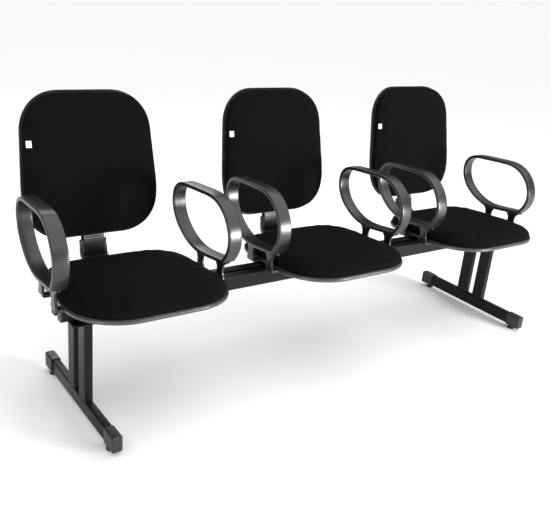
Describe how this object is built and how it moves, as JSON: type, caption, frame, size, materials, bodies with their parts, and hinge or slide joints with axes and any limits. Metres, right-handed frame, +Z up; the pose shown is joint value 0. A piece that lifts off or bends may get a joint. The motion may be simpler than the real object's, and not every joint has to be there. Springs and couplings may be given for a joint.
{
  "type": "beam seating",
  "caption": "Beam seating: upholstered seats with looped armrests on a twin-tube beam, carried by two pedestal legs with levelling glides.",
  "frame": {"origin": "on the floor under the middle of the bench", "axes": "+X along the beam, -Y towards the front of the seats, +Z up"},
  "size_m": [1.9652, 0.667, 0.8738],
  "materials": {
    "upholstery": "tight black woven fabric",
    "board": "moulded plywood, stained black",
    "edge_trim": "satin grey plastic edge",
    "arm": "satin dark grey moulded plastic",
    "frame": "satin black powder coat",
    "cap": "black moulded plastic",
    "sleeve": "satin black moulded plastic",
    "fastener": "zinc plated steel",
    "tag": "plain white label"
  },
  "bodies": {
    "bench": {"arm_screws": "fastener", "back_screws": "fastener", "back_tags": "tag", "beam_end_plugs": "cap", "blade_bolts": "fastener", "foot_caps": "cap", "front_beam_tube": "frame", "glide_nuts": "fastener", "left_back_blade": "frame", "left_back_board": "board", "left_back_cushion": "upholstery", "left_back_edge_trim": "edge_trim", "left_blade_sleeve": "sleeve", "left_foot_tube": "frame", "left_front_column": "frame", "left_left_arm": "arm", "left_leg_top_plate": "frame", "left_rear_column": "frame", "left_right_arm": "arm", "left_seat_board": "board", "left_seat_cushion": "upholstery", "left_seat_edge_trim": "edge_trim", "left_seat_plate": "frame", "leg_bolts": "fastener", "middle_back_blade": "frame", "middle_back_board": "board", "middle_back_cushion": "upholstery", "middle_back_edge_trim": "edge_trim", "middle_blade_sleeve": "sleeve", "middle_left_arm": "arm", "middle_right_arm": "arm", "middle_seat_board": "board", "middle_seat_cushion": "upholstery", "middle_seat_edge_trim": "edge_trim", "middle_seat_plate": "frame", "rear_beam_tube": "frame", "right_back_blade": "frame", "right_back_board": "board", "right_back_cushion": "upholstery", "right_back_edge_trim": "edge_trim", "right_blade_sleeve": "sleeve", "right_foot_tube": "frame", "right_front_column": "frame", "right_left_arm": "arm", "right_leg_top_plate": "frame", "right_rear_column": "frame", "right_right_arm": "arm", "right_seat_board": "board", "right_seat_cushion": "upholstery", "right_seat_edge_trim": "edge_trim", "right_seat_plate": "frame", "seat_screws": "fastener"},
    "left_front_glide_pad": {"left_front_glide_pad": "cap"},
    "left_front_glide_stud": {"left_front_glide_stud": "fastener"},
    "left_rear_glide_pad": {"left_rear_glide_pad": "cap"},
    "left_rear_glide_stud": {"left_rear_glide_stud": "fastener"},
    "right_front_glide_pad": {"right_front_glide_pad": "cap"},
    "right_front_glide_stud": {"right_front_glide_stud": "fastener"},
    "right_rear_glide_pad": {"right_rear_glide_pad": "cap"},
    "right_rear_glide_stud": {"right_rear_glide_stud": "fastener"}
  },
  "joints": [
    {"name": "left_front_glide_pad_slide", "type": "slide", "parent": "bench", "child": "left_front_glide_pad", "axis": [0, 0, 1], "range_m": [-0.012, 0]},
    {"name": "left_front_glide_stud_spin", "type": "hinge", "parent": "left_front_glide_pad", "child": "left_front_glide_stud", "pos_m": [-0.865, -0.29153, 0.02], "axis": [0, 0, 1], "range_deg": [-3450, 0]},
    {"name": "left_rear_glide_pad_slide", "type": "slide", "parent": "bench", "child": "left_rear_glide_pad", "axis": [0, 0, 1], "range_m": [-0.012, 0]},
    {"name": "left_rear_glide_stud_spin", "type": "hinge", "parent": "left_rear_glide_pad", "child": "left_rear_glide_stud", "pos_m": [-0.865, 0.16047, 0.02], "axis": [0, 0, 1], "range_deg": [-3450, 0]},
    {"name": "right_front_glide_pad_slide", "type": "slide", "parent": "bench", "child": "right_front_glide_pad", "axis": [0, 0, 1], "range_m": [-0.012, 0]},
    {"name": "right_front_glide_stud_spin", "type": "hinge", "parent": "right_front_glide_pad", "child": "right_front_glide_stud", "pos_m": [0.865, -0.29153, 0.02], "axis": [0, 0, 1], "range_deg": [-3450, 0]},
    {"name": "right_rear_glide_pad_slide", "type": "slide", "parent": "bench", "child": "right_rear_glide_pad", "axis": [0, 0, 1], "range_m": [-0.012, 0]},
    {"name": "right_rear_glide_stud_spin", "type": "hinge", "parent": "right_rear_glide_pad", "child": "right_rear_glide_stud", "pos_m": [0.865, 0.16047, 0.02], "axis": [0, 0, 1], "range_deg": [-3450, 0]}
  ],
  "couplings": [
    {"joint": "left_front_glide_pad_slide", "follows": "left_front_glide_stud_spin", "m_per_rad": 0.00019894},
    {"joint": "left_rear_glide_pad_slide", "follows": "left_rear_glide_stud_spin", "m_per_rad": 0.00019894},
    {"joint": "right_front_glide_pad_slide", "follows": "right_front_glide_stud_spin", "m_per_rad": 0.00019894},
    {"joint": "right_rear_glide_pad_slide", "follows": "right_rear_glide_stud_spin", "m_per_rad": 0.00019894}
  ]
}
